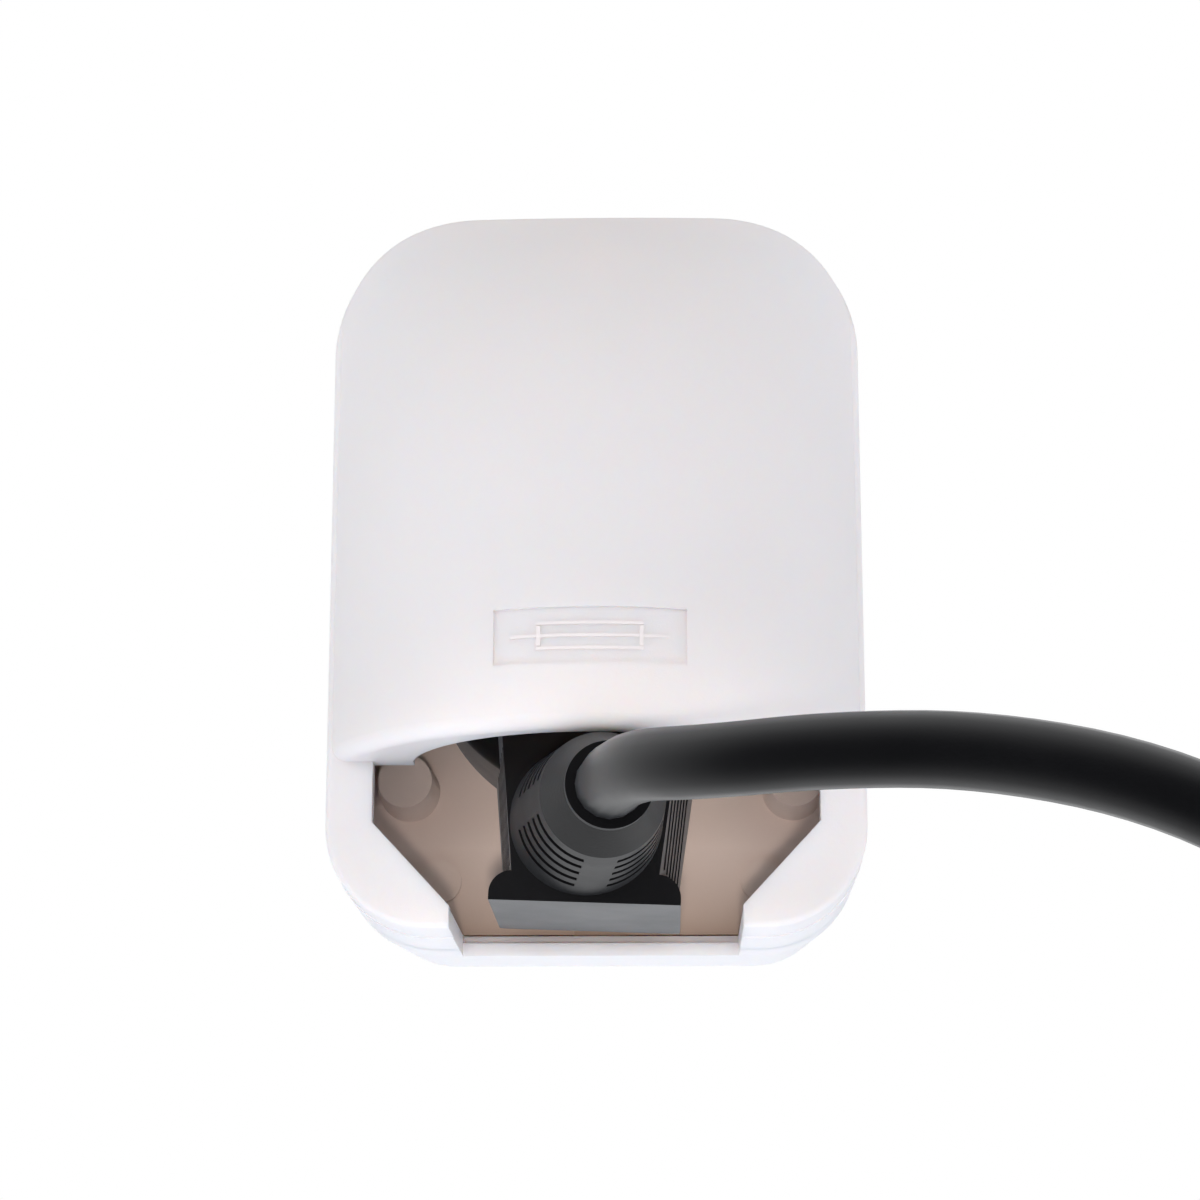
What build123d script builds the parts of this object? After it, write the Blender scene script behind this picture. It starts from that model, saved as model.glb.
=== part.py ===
from build123d import *
import os
from math import cos, pi, radians, sin, tan

# Fused converter adapter: a British three-pin base and a hooded cover closed round an angled
# continental plug and its lead. Millimetres, +Z up, pins towards +Y, hood and lead towards -Y.
# Origin: on the pin face, at the middle of the pin pattern.

# Housing
HOUSING_WIDTH = 55.2
HOUSING_HEIGHT = 75.6
HOUSING_BOTTOM = -36.0
TOP_CORNER = 15.2
BOTTOM_CORNER = 10.5
WALL = 2.2
BASE_DRAFT = 4.1
SKIRT_DEPTH = 17.0
FRONT_BAND = 7.5
BAND_STEP = 0.15
FRONT_EDGE = 0.6
PIN_WALL = 2.2

# Lead opening in the cover, heights measured up from the housing's bottom
OPENING_HALF = 22.7
NOTCH_HALF = 14.8
ARCH_HEIGHT = 17.1
CHAMFER_TOP = 10.9
CHAMFER_BOTTOM = 2.4
LIP_ABOVE_FLOOR = 1.8
LIP_WALL = 1.4

# Hood: its crown as (share of the way from the arch to the housing's top, rise from the frame)
HOOD_RISE = 17.6
HOOD_CROWN = ((0.0, HOOD_RISE), (0.22, HOOD_RISE), (0.443, 16.9), (0.614, 15.0), (0.75, 11.9),
              (0.862, 7.9), (0.938, 4.3), (1.006, 0.6))
HOOD_FOOT = 0.3
HOOD_SIDE_INSET = 0.45
HOOD_TOP_INSET = 0.35
HOOD_WALL = 2.4
BULKHEAD = 2.2
CHANNEL_HALF = 18.6
CHANNEL_RISE = 15.2
LIP_ROUND = 1.5
PANEL_WIDTH = 18.8
PANEL_MIDDLE = -0.2
PANEL_HEIGHT = 5.6
PANEL_BOTTOM = 23.4
PANEL_DEPTH = 0.5
OVERCUT = 1.0

# British pins: width along X, height along Z, length out of the pin face
PIN_SPREAD = 22.2
PIN_RISE = 22.2
LINE_PIN = (6.35, 4.0, 17.7)
EARTH_PIN = (4.0, 8.0, 22.7)
PIN_TIP_BEVEL = 1.1
SLEEVE_LENGTH = 9.5
SLEEVE_SKIN = 0.6
PIN_HEAD = 1.6
PIN_HEAD_LIP = 1.0
LINE_TAIL_END = 10.2
EARTH_TAIL_END = 16.6

# Continental plug, heights measured from the middle of its disc
DISC_HEIGHT = 33.3
DISC_DIAMETER = 37.3
DISC_DEPTH = 17.0
DISC_EDGE = 1.2
PLUG_PIN_DIAMETER = 4.8
PLUG_PIN_LENGTH = 19.0
PLUG_PIN_SPREAD = 19.0
PIN_TIP_ROOM = 0.6
PLUG_ROLL = 2.0
GRIP_START = 5.0
GRIP_END = 27.0
GRIP_TOP = 6.0
GRIP_BOTTOM = -31.1
GRIP_FOOT_HALF = (8.9, 7.05)
GRIP_FLARE = 0.11
GRIP_CORNER = 4.0
PLUG_PIN_TIP = 2.1
FOOT_WIDTH = 19.2
FOOT_THICKNESS = 3.0
FOOT_CORNER = 0.8
FOOT_ROUND = 2.3
EARTH_NOTCH_WIDTH = 7.5
EARTH_NOTCH_DEPTH = 3.0
EARTH_NOTCH_FLOOR = 3.0
EARTH_STRIP = 0.8
EARTH_STRIP_HALF = 2.6
FINGER_GROOVES = 6
FINGER_PITCH = 3.0
FINGER_START = 4.5
FINGER_GROOVE_WIDTH = 1.5
FINGER_GROOVE_DEPTH = 0.7
FINGER_GROOVE_HEIGHT = 12.0
FINGER_MIDDLE = 9.8
FINGER_SLANT = 14.0

# Strain relief: (distance behind the plug's rear face, radius)
RELIEF_DROP = 22.8
RELIEF_SIDE_TILT = 7.5
RELIEF_LENGTH = 20.0
RELIEF_ROOT_RADIUS = 7.6
RELIEF_RIM_RADIUS = 6.1
RELIEF_RIM_AT = 14.5
RELIEF_MOUTH_RADIUS = 4.2
RELIEF_GROOVES = 5
RELIEF_GROOVE_WIDTH = 0.9
RELIEF_GROOVE_PITCH = 2.3
RELIEF_GROOVE_DEPTH = 1.3
RELIEF_SPINE = 3.2
RELIEF_LAST_LAND = 1.6
RELIEF_MOUTH_LAND = 1.0
RELIEF_ROOT = 1.5

# Socket plate, its bosses and the contacts behind it
FLOOR_TO_FRONT = 24.0
PLATE_THICKNESS = 2.0
PLATE_GAP = 0.15
PLUG_PIN_HOLE = 6.2
BOSS_HEIGHT = 7.0
BOSS_ROOT_RADIUS = 3.3
BOSS_TAPER = 3.3
BOSS_SKIN = 1.2
LOWER_BOSS_IN = 6.7
LOWER_BOSS_UP = 18.2
UPPER_BOSS_IN = 9.8
UPPER_BOSS_DOWN = 10.1
PAD_IN = 10.1
PAD_UP = 8.3
PAD_RADIUS = 2.35
PAD_HEIGHT = 0.55
FLOOR_SLOT = (5.8, 4.2)
FLOOR_SLOT_DEPTH = 1.0
BRACKET_REACH = 11.0
BRACKET_ROOM = (0.3, 0.4)
BRACKET_SPRING = 0.7
PILLAR_ROOM = 0.3
CONTACT_BORE = 2.8
CONTACT_WALL = 0.6
STRAP = 0.8
STRAP_WIDTH = 4.0
STRAP_OUT = 16.4
STRAP_LAP = 1.0
NEUTRAL_STRAP_X = 4.0
CONTACT_SLOT = 1.0
CONTACT_COLLAR = 2.5
CONTACT_GAP = 0.2

# Fuse and its carrier
FUSE_AT = (-6.4, 22.5)
FUSE_LENGTH = 25.4
FUSE_CAP_RADIUS = 3.175
FUSE_CAP_LENGTH = 6.0
FUSE_CAP_WALL = 0.3
CARRIER_SIZE = (28.4, 10.0, 8.2)
CARRIER_GAP = 0.1
CARRIER_WALL = 0.7
CLIP_THICKNESS = 0.6
CLIP_GAP = 0.05
CLIP_HALF = 2.5
CLIP_MOUTH = 2.0
CLIP_ROOT_HALF = 1.5
CLIP_ROOM = 0.3
CARRIER_GRIP = (9.0, 0.9, 1.2)
CARRIER_CUT_BACK = 3.0

# Screws: shank radius, head radius, head height
SCREW_SHANK = 1.45
SCREW_HEAD = 2.4
SCREW_HEAD_HEIGHT = 2.0
SCREW_HEAD_BEVEL = 0.6
SCREW_CLEARANCE = 0.05
SCREW_RECESS = (0.7, 2.6)
SCREW_RECESS_DEPTH = 1.1
SCREW_END_ROOM = 0.5
PILLAR_RADIUS = 3.4
PLATE_SCREW_SEAT = 8.0
PLATE_SCREW_LENGTH = 18.5
COVER_SCREW_DOWN = 8.1
COVER_SCREW_SEAT = 12.0
COVER_SCREW_LENGTH = 24.0
COVER_PILLAR_START = 24.0

# Lead: diameter and the points it follows, from the strain relief's mouth to its coil
LEAD_DIAMETER = 6.6
LEAD_FIRST_RUN = 9.9
LEAD_ROUTE = [(10.5, -87.8, -27.0), (21.0, -93.3, -27.0), (33.0, -98.8, -28.0),
              (46.0, -105.8, -31.9), (57.0, -110.0, -38.3), (66.5, -111.0, -47.5),
              (73.0, -109.5, -59.0), (75.8, -107.5, -75.3), (71.4, -105.5, -92.8),
              (59.5, -104.0, -107.0), (42.6, -103.0, -114.5), (24.6, -102.8, -114.5)]
COIL_RADIUS = 39.5
COIL_BUNDLE = 10.0
COIL_TURNS = 6.25
TIE_GAP = 0.15
TIE_THICKNESS = 1.2
TIE_SPAN = 18.0
TIE_AT = 110.0
END_ROUTE = [(-41.0, -4.0, 6.0), (-42.5, -6.5, -8.0), (-42.5, -7.5, -21.0), (-42.0, -8.0, -34.0),
             (-42.0, -8.0, -46.0)]

# Appliance connector on the lead's far end
CONNECTOR_WIDTH = 28.0
CONNECTOR_DEPTH = 19.0
CONNECTOR_LENGTH = 32.0
CONNECTOR_CORNER = 5.0
CONNECTOR_SLOT = (2.6, 5.2)
CONNECTOR_SLOT_DEPTH = 17.0
CONNECTOR_SLOTS = ((-7.0, 2.0), (7.0, 2.0), (0.0, -2.5))
CONNECTOR_TOP_ROUND = 2.5
CONNECTOR_GRIPS = 4
CONNECTOR_GRIP_TOP = 7.0
CONNECTOR_GRIP_PITCH = 3.0
CONNECTOR_GRIP_HALF = 6.0
CONNECTOR_GRIP_CUT = 0.6
CONTACT_LEAF = 0.7
CONTACT_SETBACK = 4.0
CONNECTOR_RELIEF = 24.0
CONNECTOR_SPINE = 3.0
CONNECTOR_RELIEF_RADII = (4.2, 6.6)
CONNECTOR_RINGS = 5
CONNECTOR_RING_TOP = 5.0
CONNECTOR_RING_PITCH = 3.2
CONNECTOR_RING_WIDTH = 1.2
CONNECTOR_RING_DEPTH = 1.1

# Worked out from the above
FLOOR_Y = -(PIN_WALL + PIN_TIP_ROOM + PLUG_PIN_LENGTH)
FRONT_Y = FLOOR_Y - FLOOR_TO_FRONT
SEAM_Y = FRONT_Y + SKIRT_DEPTH
LIP_Y = FLOOR_Y - LIP_ABOVE_FLOOR
HOUSING_TOP = HOUSING_BOTTOM + HOUSING_HEIGHT
HOUSING_MIDDLE = HOUSING_BOTTOM + HOUSING_HEIGHT / 2
DISC_Z = HOUSING_BOTTOM + DISC_HEIGHT
ARCH_Z = HOUSING_BOTTOM + ARCH_HEIGHT
LOWER_BOSS = (HOUSING_WIDTH / 2 - LOWER_BOSS_IN, HOUSING_BOTTOM + LOWER_BOSS_UP)
UPPER_BOSS = (HOUSING_WIDTH / 2 - UPPER_BOSS_IN, HOUSING_TOP - UPPER_BOSS_DOWN)
PAD_AT = (HOUSING_WIDTH / 2 - PAD_IN, HOUSING_BOTTOM + PAD_UP)
COVER_SCREW_AT = HOUSING_TOP - COVER_SCREW_DOWN
REAR_FACE_Y = FLOOR_Y - GRIP_END


def block(x, y, z):
    """A box from its three ranges."""
    middle = ((x[0] + x[1]) / 2, (y[0] + y[1]) / 2, (z[0] + z[1]) / 2)
    return Pos(*middle) * Box(x[1] - x[0], y[1] - y[0], z[1] - z[0])


def facing(y):
    """The plane across the housing at depth y, with X to the right and Z up in it."""
    return Plane(origin=(0, y, 0), x_dir=(1, 0, 0), z_dir=(0, -1, 0))


def rod(radius, y_from, y_to, x=0.0, z=0.0):
    """A cylinder along Y."""
    return extrude(facing(y_to) * Pos(x, z) * Circle(radius), y_to - y_from)


def outline(inset):
    """The housing's outline in its own plane, moved in by inset."""
    blank = Pos(0, HOUSING_MIDDLE) * Rectangle(HOUSING_WIDTH - 2 * inset, HOUSING_HEIGHT - 2 * inset)
    blank = fillet(blank.vertices().group_by(Axis.Y)[-1], TOP_CORNER - inset)
    return fillet(blank.vertices().group_by(Axis.Y)[0], BOTTOM_CORNER - inset)


def prism(inset, y_from, y_to):
    """The housing's outline, moved in by inset, between two depths."""
    return extrude(facing(y_to) * outline(inset), y_to - y_from)


def draft(y):
    """How far the base's side has moved in at depth y; it stands straight as far as the lip."""
    return max(0.0, y - LIP_Y) * tan(radians(BASE_DRAFT))


def tapered(inset, y_from, y_to):
    """The same between two depths of the base."""
    start = max(y_from, LIP_Y)
    ends = [facing(y) * outline(inset + draft(y)) for y in (start, y_to)]
    body = loft([end.face() for end in ends], ruled=True)
    return body + prism(inset, y_from, start) if start > y_from else body


def hood_section(share, rise, shrink, root):
    """One level of the hood: an arc in front of the frame and straight sides back to root."""
    half = HOUSING_WIDTH / 2 - BAND_STEP - HOOD_SIDE_INSET - shrink
    z = ARCH_Z + share * (HOUSING_TOP - ARCH_Z)
    foot_y, root_y = FRONT_Y + HOOD_FOOT, FRONT_Y + root
    arc = ThreePointArc((-half, foot_y), (0, FRONT_Y - rise + shrink), (half, foot_y))
    back = Polyline((half, foot_y), (half, root_y), (-half, root_y), (-half, foot_y))
    return (Pos(0, 0, z) * make_face([arc, back])).face()


def hood_form(shrink, root=HOOD_FOOT + OVERCUT / 2):
    """The hood's solid form before its outline is cut, moved in by shrink."""
    return loft([hood_section(share, rise, shrink, root) for share, rise in HOOD_CROWN if rise > shrink])


def within(inset):
    """The housing's outline as a cutter for the hood, as deep as the hood stands out."""
    return prism(inset, FRONT_Y - HOOD_RISE - OVERCUT, SEAM_Y)


def make_cover():
    """Front half: skirt, frame, hood, arch, panel, lead opening and screw pillar."""
    step_y = FRONT_Y + FRONT_BAND
    front = prism(BAND_STEP, FRONT_Y, step_y)
    front = fillet(front.faces().sort_by(Axis.Y)[0].edges(), FRONT_EDGE)
    skirt = prism(0, step_y, SEAM_Y)
    hood = hood_form(0)
    lip = [edge for edge in hood.faces().sort_by(Axis.Z)[0].edges() if edge.center().Y < FRONT_Y - HOOD_WALL]
    hood = fillet(lip, LIP_ROUND) & within(BAND_STEP + HOOD_TOP_INSET)
    cover = front + skirt + hood

    cavity_top = (ARCH_Z + BULKHEAD, HOUSING_TOP)
    reach = (FRONT_Y - HOOD_RISE, SEAM_Y)
    cover -= prism(WALL, FRONT_Y + WALL, SEAM_Y)
    inside = hood_form(HOOD_WALL, WALL + OVERCUT) & within(HOOD_WALL)
    cover -= inside & block((-HOUSING_WIDTH, HOUSING_WIDTH), reach, cavity_top)

    channel_y = FRONT_Y + WALL + OVERCUT / 10
    arc = ThreePointArc((-CHANNEL_HALF, FRONT_Y), (0, FRONT_Y - CHANNEL_RISE), (CHANNEL_HALF, FRONT_Y))
    back = Polyline((CHANNEL_HALF, FRONT_Y), (CHANNEL_HALF, channel_y), (-CHANNEL_HALF, channel_y),
                    (-CHANNEL_HALF, FRONT_Y))
    cover -= extrude(Pos(0, 0, ARCH_Z) * make_face([arc, back]), BULKHEAD)

    below = HOUSING_BOTTOM - OVERCUT
    left = [(-OPENING_HALF, ARCH_Z), (-OPENING_HALF, HOUSING_BOTTOM + CHAMFER_TOP),
            (-NOTCH_HALF, HOUSING_BOTTOM + CHAMFER_BOTTOM), (-NOTCH_HALF, below)]
    right = [(-x, z) for x, z in reversed(left)]
    mouth = make_face(Polyline(*left, *right, close=True))
    cover -= extrude(facing(channel_y) * mouth, channel_y - FRONT_Y + OVERCUT)
    cover -= block((-NOTCH_HALF, NOTCH_HALF), reach, (below, HOUSING_BOTTOM + CHAMFER_BOTTOM))

    panel_z = HOUSING_BOTTOM + PANEL_BOTTOM
    panel = block((PANEL_MIDDLE - PANEL_WIDTH / 2, PANEL_MIDDLE + PANEL_WIDTH / 2),
                  (FRONT_Y - HOOD_RISE - OVERCUT, FRONT_Y), (panel_z, panel_z + PANEL_HEIGHT))
    cover -= panel - hood_form(PANEL_DEPTH)

    pillar = rod(PILLAR_RADIUS, FRONT_Y - HOOD_RISE, -COVER_PILLAR_START, 0, COVER_SCREW_AT)
    behind = block((-HOUSING_WIDTH, HOUSING_WIDTH), (FRONT_Y, 0), (0, HOUSING_TOP))
    cover += pillar & (hood_form(HOOD_WALL / 2) + behind)
    hole_end = -COVER_SCREW_SEAT - COVER_SCREW_LENGTH - SCREW_END_ROOM
    return cover - rod(SCREW_SHANK + SCREW_CLEARANCE, hole_end, -COVER_PILLAR_START, 0, COVER_SCREW_AT)


def mirrored(point):
    """A point and its mirror image across the middle."""
    return [point, (-point[0], point[1])]


def screw_places():
    """Where the four plate screws stand."""
    return mirrored(LOWER_BOSS) + mirrored(UPPER_BOSS)


def make_base():
    """Rear half: drafted walls, pin face, screw pillars, fuse window and the low lip of the notch."""
    shell = tapered(0, SEAM_Y, 0) - tapered(WALL, SEAM_Y, -PIN_WALL)
    plate_back = FLOOR_Y + PLATE_THICKNESS
    envelope = tapered(0, SEAM_Y, 0)
    for x, z in screw_places():
        shell += rod(PILLAR_RADIUS, plate_back, -PIN_WALL, x, z) & envelope
    shell += rod(PILLAR_RADIUS, -COVER_PILLAR_START, -PIN_WALL, 0, COVER_SCREW_AT)
    hole = SCREW_SHANK + SCREW_CLEARANCE
    bore = SCREW_HEAD + SCREW_CLEARANCE
    for x, z in screw_places():
        shell -= rod(hole, plate_back, 0, x, z)
        shell -= rod(bore, -PLATE_SCREW_SEAT, 0, x, z)
    shell -= rod(hole, -COVER_PILLAR_START, 0, 0, COVER_SCREW_AT)
    shell -= rod(bore, -COVER_SCREW_SEAT, 0, 0, COVER_SCREW_AT)
    for x, z, size in pin_places():
        wide, high = size[0] / 2, size[1] / 2
        shell -= block((x - wide, x + wide), (-PIN_WALL, 0), (z - high, z + high))
    width, depth, height = CARRIER_SIZE
    half_x, half_z = width / 2 + CARRIER_GAP, height / 2 + CARRIER_GAP
    shell -= block((-half_x, half_x), (-PIN_WALL, 0), (FUSE_AT[1] - half_z, FUSE_AT[1] + half_z))
    notch = (-NOTCH_HALF, NOTCH_HALF)
    above = HOUSING_BOTTOM + WALL + OVERCUT
    shell -= block(notch, (SEAM_Y, LIP_Y), (HOUSING_BOTTOM - OVERCUT, above))
    shell -= block(notch, (LIP_Y, FLOOR_Y), (HOUSING_BOTTOM + LIP_WALL, above))
    return shell


def pin_places():
    """Each British pin's place and section."""
    out, up = PIN_SPREAD / 2, PIN_RISE / 2
    return [(0.0, up, EARTH_PIN), (out, -up, LINE_PIN), (-out, -up, LINE_PIN)]


def make_pin(x, z, size, tail_end, sleeved):
    """A British pin: bevelled blade, head against the inside of the pin wall, tail to its strap."""
    wide, high, long = size
    blade = block((x - wide / 2, x + wide / 2), (-PIN_WALL, long), (z - high / 2, z + high / 2))
    tip = blade.faces().sort_by(Axis.Y)[-1].edges()
    blade = chamfer(tip, PIN_TIP_BEVEL)
    head_x, head_z = wide / 2 + PIN_HEAD_LIP, high / 2 + PIN_HEAD_LIP
    blade += block((x - head_x, x + head_x), (-PIN_WALL - PIN_HEAD, -PIN_WALL), (z - head_z, z + head_z))
    tail_x, tail_z = wide / 2 - SLEEVE_SKIN, high / 2 - SLEEVE_SKIN
    blade += block((x - tail_x, x + tail_x), (-tail_end, -PIN_WALL), (z - tail_z, z + tail_z))
    if sleeved:
        blade -= make_sleeve(x, z, size)
    return blade


def make_sleeve(x, z, size):
    """The insulating sleeve moulded flush round the root of a line pin."""
    wide, high = size[0] / 2, size[1] / 2
    outer = block((x - wide, x + wide), (0, SLEEVE_LENGTH), (z - high, z + high))
    core_x, core_z = wide - SLEEVE_SKIN, high - SLEEVE_SKIN
    return outer - block((x - core_x, x + core_x), (0, SLEEVE_LENGTH), (z - core_z, z + core_z))


def make_socket_plate():
    """The recess floor: screw bosses, pads, plug pin holes, slots for the earth bracket."""
    inset = WALL + PLATE_GAP
    plate = tapered(inset, FLOOR_Y, FLOOR_Y + PLATE_THICKNESS)
    for x, z in screw_places():
        root = facing(FLOOR_Y) * Pos(x, z) * Circle(BOSS_ROOT_RADIUS)
        plate += extrude(root, BOSS_HEIGHT, taper=BOSS_TAPER)
        hole_end = FLOOR_Y - BOSS_HEIGHT + BOSS_SKIN
        plate -= rod(SCREW_SHANK + SCREW_CLEARANCE, hole_end, FLOOR_Y + PLATE_THICKNESS, x, z)
    for x, z in mirrored(PAD_AT):
        plate += rod(PAD_RADIUS, FLOOR_Y - PAD_HEIGHT, FLOOR_Y, x, z)
    back = FLOOR_Y + PLATE_THICKNESS
    for x in (-PLUG_PIN_SPREAD / 2, PLUG_PIN_SPREAD / 2):
        plate -= rod(PLUG_PIN_HOLE / 2, FLOOR_Y, back, x, DISC_Z)
    half = STRAP_WIDTH / 2 + BRACKET_ROOM[0]
    for z in bracket_arms():
        plate -= block((-half, half), (FLOOR_Y, back), (z - BRACKET_ROOM[1], z + STRAP + BRACKET_ROOM[1]))
    plate -= rod(PILLAR_RADIUS + PILLAR_ROOM, FLOOR_Y, back, 0, COVER_SCREW_AT)
    slot_low = HOUSING_BOTTOM + WALL + draft(FLOOR_Y)
    wide, high = FLOOR_SLOT
    plate -= block((-wide / 2, wide / 2), (FLOOR_Y, FLOOR_Y + FLOOR_SLOT_DEPTH), (slot_low, slot_low + high))
    return plate


def bracket_arms():
    """Lower faces of the earth bracket's two arms, in the plug's edge notches."""
    reach = DISC_DIAMETER / 2 - EARTH_NOTCH_DEPTH + EARTH_STRIP + BRACKET_SPRING
    return [DISC_Z + reach, DISC_Z - reach - STRAP]


def make_earth_bracket():
    """One bent strip: two sprung arms beside the plug's disc, joined behind the plate."""
    upper, lower = bracket_arms()
    back = (-EARTH_TAIL_END - STRAP, -EARTH_TAIL_END)
    half = (-STRAP_WIDTH / 2, STRAP_WIDTH / 2)
    tip_y = FLOOR_Y - BRACKET_REACH
    strip = block(half, back, (lower, upper + STRAP))
    for arm in (upper, lower):
        strip += block(half, (tip_y, back[1]), (arm, arm + STRAP))
    return strip


def sleeve_contact(x):
    """A split tube round a plug pin."""
    front, back = FLOOR_Y + PLATE_THICKNESS + CONTACT_GAP, -LINE_TAIL_END
    outer = CONTACT_BORE + CONTACT_WALL
    tube = rod(outer, front, back, x, DISC_Z) - rod(CONTACT_BORE, front, back, x, DISC_Z)
    slot = (x - CONTACT_SLOT / 2, x + CONTACT_SLOT / 2)
    return tube - block(slot, (front, back - CONTACT_COLLAR), (DISC_Z, DISC_Z + outer + OVERCUT))


def strap(points):
    """A flat strip following points across the contact chamber, on the line pins' tails."""
    y = -LINE_TAIL_END
    return extrude(facing(y) * trace(Polyline(*points), STRAP_WIDTH), STRAP)


def fuse_clip(x):
    """A sprung ring round one fuse cap, open towards the pin face, with its root on the strap."""
    y, z = FUSE_AT
    inner = FUSE_CAP_RADIUS + CLIP_GAP
    outer = inner + CLIP_THICKNESS
    ends = (x - CLIP_HALF, x + CLIP_HALF)
    ring = rod_along_x(outer, *ends, y, z) - rod_along_x(inner, *ends, y, z)
    ring -= block(ends, (y + CLIP_MOUTH, y + outer), (z - outer, z + outer))
    root = block(ends, (-LINE_TAIL_END - STRAP, y - inner), (z - CLIP_ROOT_HALF, z + CLIP_ROOT_HALF))
    return ring + (root - rod_along_x(inner, *ends, y, z))


def rod_along_x(radius, x_from, x_to, y, z):
    """A cylinder along X."""
    return extrude(Plane(origin=(x_from, y, z), z_dir=(1, 0, 0)) * Circle(radius), x_to - x_from)


CLIP_X = FUSE_LENGTH / 2 - FUSE_CAP_LENGTH / 2


def make_live_strap():
    """From the live pin's tail up to the right-hand fuse clip."""
    low = -PIN_RISE / 2
    path = [(PIN_SPREAD / 2 - STRAP_LAP, low), (STRAP_OUT, low), (STRAP_OUT, FUSE_AT[1]),
            (CLIP_X, FUSE_AT[1])]
    return strap(path) + fuse_clip(CLIP_X)


def make_live_contact():
    """From the left-hand fuse clip down to the tube round the left plug pin."""
    pin_x = -PLUG_PIN_SPREAD / 2
    path = [(-CLIP_X, FUSE_AT[1]), (-STRAP_OUT, FUSE_AT[1]), (-STRAP_OUT, DISC_Z),
            (pin_x - CONTACT_BORE, DISC_Z)]
    return strap(path) + fuse_clip(-CLIP_X) + sleeve_contact(pin_x)


def make_neutral_contact():
    """From the neutral pin's tail across to the tube round the right plug pin."""
    pin_x = PLUG_PIN_SPREAD / 2
    low = -PIN_RISE / 2
    path = [(-PIN_SPREAD / 2 - STRAP_LAP, low), (NEUTRAL_STRAP_X, low), (NEUTRAL_STRAP_X, DISC_Z),
            (pin_x - CONTACT_BORE, DISC_Z)]
    return strap(path) + sleeve_contact(pin_x)


def make_fuse_body():
    """The ceramic tube between the caps."""
    half = FUSE_LENGTH / 2 - FUSE_CAP_WALL
    return rod_along_x(FUSE_CAP_RADIUS - FUSE_CAP_WALL, -half, half, *FUSE_AT)


def make_fuse_caps():
    """Two pressed end caps."""
    end = FUSE_LENGTH / 2
    bore = FUSE_CAP_RADIUS - FUSE_CAP_WALL
    caps = []
    for low, high in ((-end, FUSE_CAP_LENGTH - end), (end - FUSE_CAP_LENGTH, end)):
        cap = rod_along_x(FUSE_CAP_RADIUS, low, high, *FUSE_AT)
        caps.append(cap - rod_along_x(bore, -end + FUSE_CAP_WALL, end - FUSE_CAP_WALL, *FUSE_AT))
    return caps


def make_fuse_carrier():
    """The tray that pushes into the pin face: front plate, side walls cut away at the clips."""
    width, depth, height = CARRIER_SIZE
    y, z = FUSE_AT
    tray = block((-width / 2, width / 2), (-depth, 0), (z - height / 2, z + height / 2))
    room = FUSE_CAP_RADIUS + CARRIER_GAP
    inside = FUSE_LENGTH / 2 + CARRIER_GAP
    tray -= rod_along_x(room, -inside, inside, y, z)
    tray -= block((-inside, inside), (-depth, y), (z - room, z + room))
    for side in (-1, 1):
        x = side * CLIP_X
        room_x = CLIP_HALF + CLIP_ROOM
        tray -= block((x - room_x, x + room_x), (-depth, y + CARRIER_CUT_BACK), (z - height, z + height))
    wide, deep, high = CARRIER_GRIP
    return tray - block((-wide / 2, wide / 2), (-deep, 0), (z - high / 2, z + high / 2))


def screw(x, z, seat, length):
    """A pan-head screw driven from the pin face, with a cross recess."""
    head_y = -seat + SCREW_HEAD_HEIGHT
    body = rod(SCREW_SHANK, -seat - length, -seat, x, z)
    head = rod(SCREW_HEAD, -seat, head_y, x, z)
    head = chamfer(head.edges().sort_by(Axis.Y)[-1], SCREW_HEAD_BEVEL)
    floor_y = head_y - SCREW_RECESS_DEPTH
    for wide, high in (SCREW_RECESS, SCREW_RECESS[::-1]):
        head -= block((x - wide / 2, x + wide / 2), (floor_y, head_y), (z - high / 2, z + high / 2))
    return body + head


def grip_section(y, foot_half):
    """The plug grip's section at one depth: narrower at its foot, rounded at the corners."""
    top_half = foot_half + GRIP_FLARE * (GRIP_TOP - GRIP_BOTTOM)
    shape = Polygon((-foot_half, GRIP_BOTTOM), (foot_half, GRIP_BOTTOM), (top_half, GRIP_TOP),
                    (-top_half, GRIP_TOP), align=None)
    return (facing(y) * fillet(shape.vertices().group_by(Axis.Y)[-1], GRIP_CORNER)).face()


def in_plug(shape):
    """From the plug's own frame, disc face at its origin, to its place in the housing."""
    return Pos(0, FLOOR_Y, DISC_Z) * Rot(0, PLUG_ROLL, 0) * shape


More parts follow.
